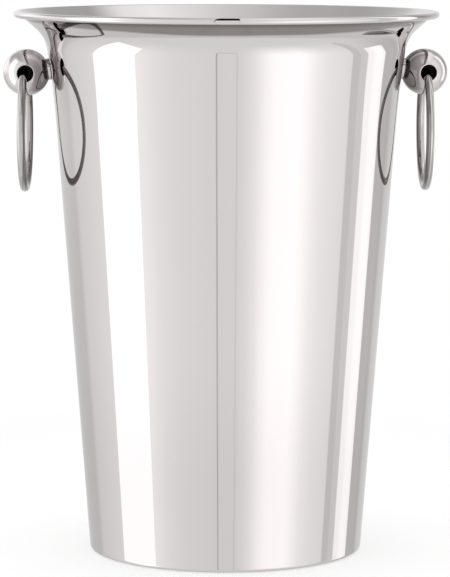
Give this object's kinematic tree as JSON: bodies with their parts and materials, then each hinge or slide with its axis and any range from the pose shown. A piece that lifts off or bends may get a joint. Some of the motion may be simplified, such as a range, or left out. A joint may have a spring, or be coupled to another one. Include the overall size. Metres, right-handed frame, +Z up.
{
  "type": "champagne bucket",
  "caption": "Tall tapered champagne bucket in polished steel with a flared, rolled rim and a hanging wire ring on a ball knob at each side.",
  "frame": {"origin": "centre of the base, on the ground plane that the foot ring rests on", "axes": "+Z up along the bucket's axis; the two knobs stand on +X (right) and -X (left); -Y is the front"},
  "size_m": [0.2132, 0.2032, 0.26],
  "materials": {
    "body_steel": "mirror polished outside, satin spun inside",
    "knob_steel": "mirror polished",
    "ring_steel": "polished drawn wire",
    "fixing_steel": "plain machined",
    "seal_rubber": "matte grey silicone"
  },
  "bodies": {
    "bucket": {"bucket_body": "body_steel", "left_knob": "knob_steel", "left_collar": "knob_steel", "left_seal": "seal_rubber", "left_washer": "fixing_steel", "left_screw": "fixing_steel", "right_knob": "knob_steel", "right_collar": "knob_steel", "right_seal": "seal_rubber", "right_washer": "fixing_steel", "right_screw": "fixing_steel"},
    "left_ring": {"left_ring": "ring_steel"},
    "right_ring": {"right_ring": "ring_steel"}
  },
  "joints": [
    {"name": "left_ring_swing", "type": "hinge", "parent": "bucket", "child": "left_ring", "pos_m": [-0.09631, 0, 0.23059], "axis": [0, 1, 0], "range_deg": [-15.4, 166.3]},
    {"name": "right_ring_swing", "type": "hinge", "parent": "bucket", "child": "right_ring", "pos_m": [0.09631, 0, 0.23059], "axis": [0, -1, 0], "range_deg": [-15.4, 166.3]}
  ]
}
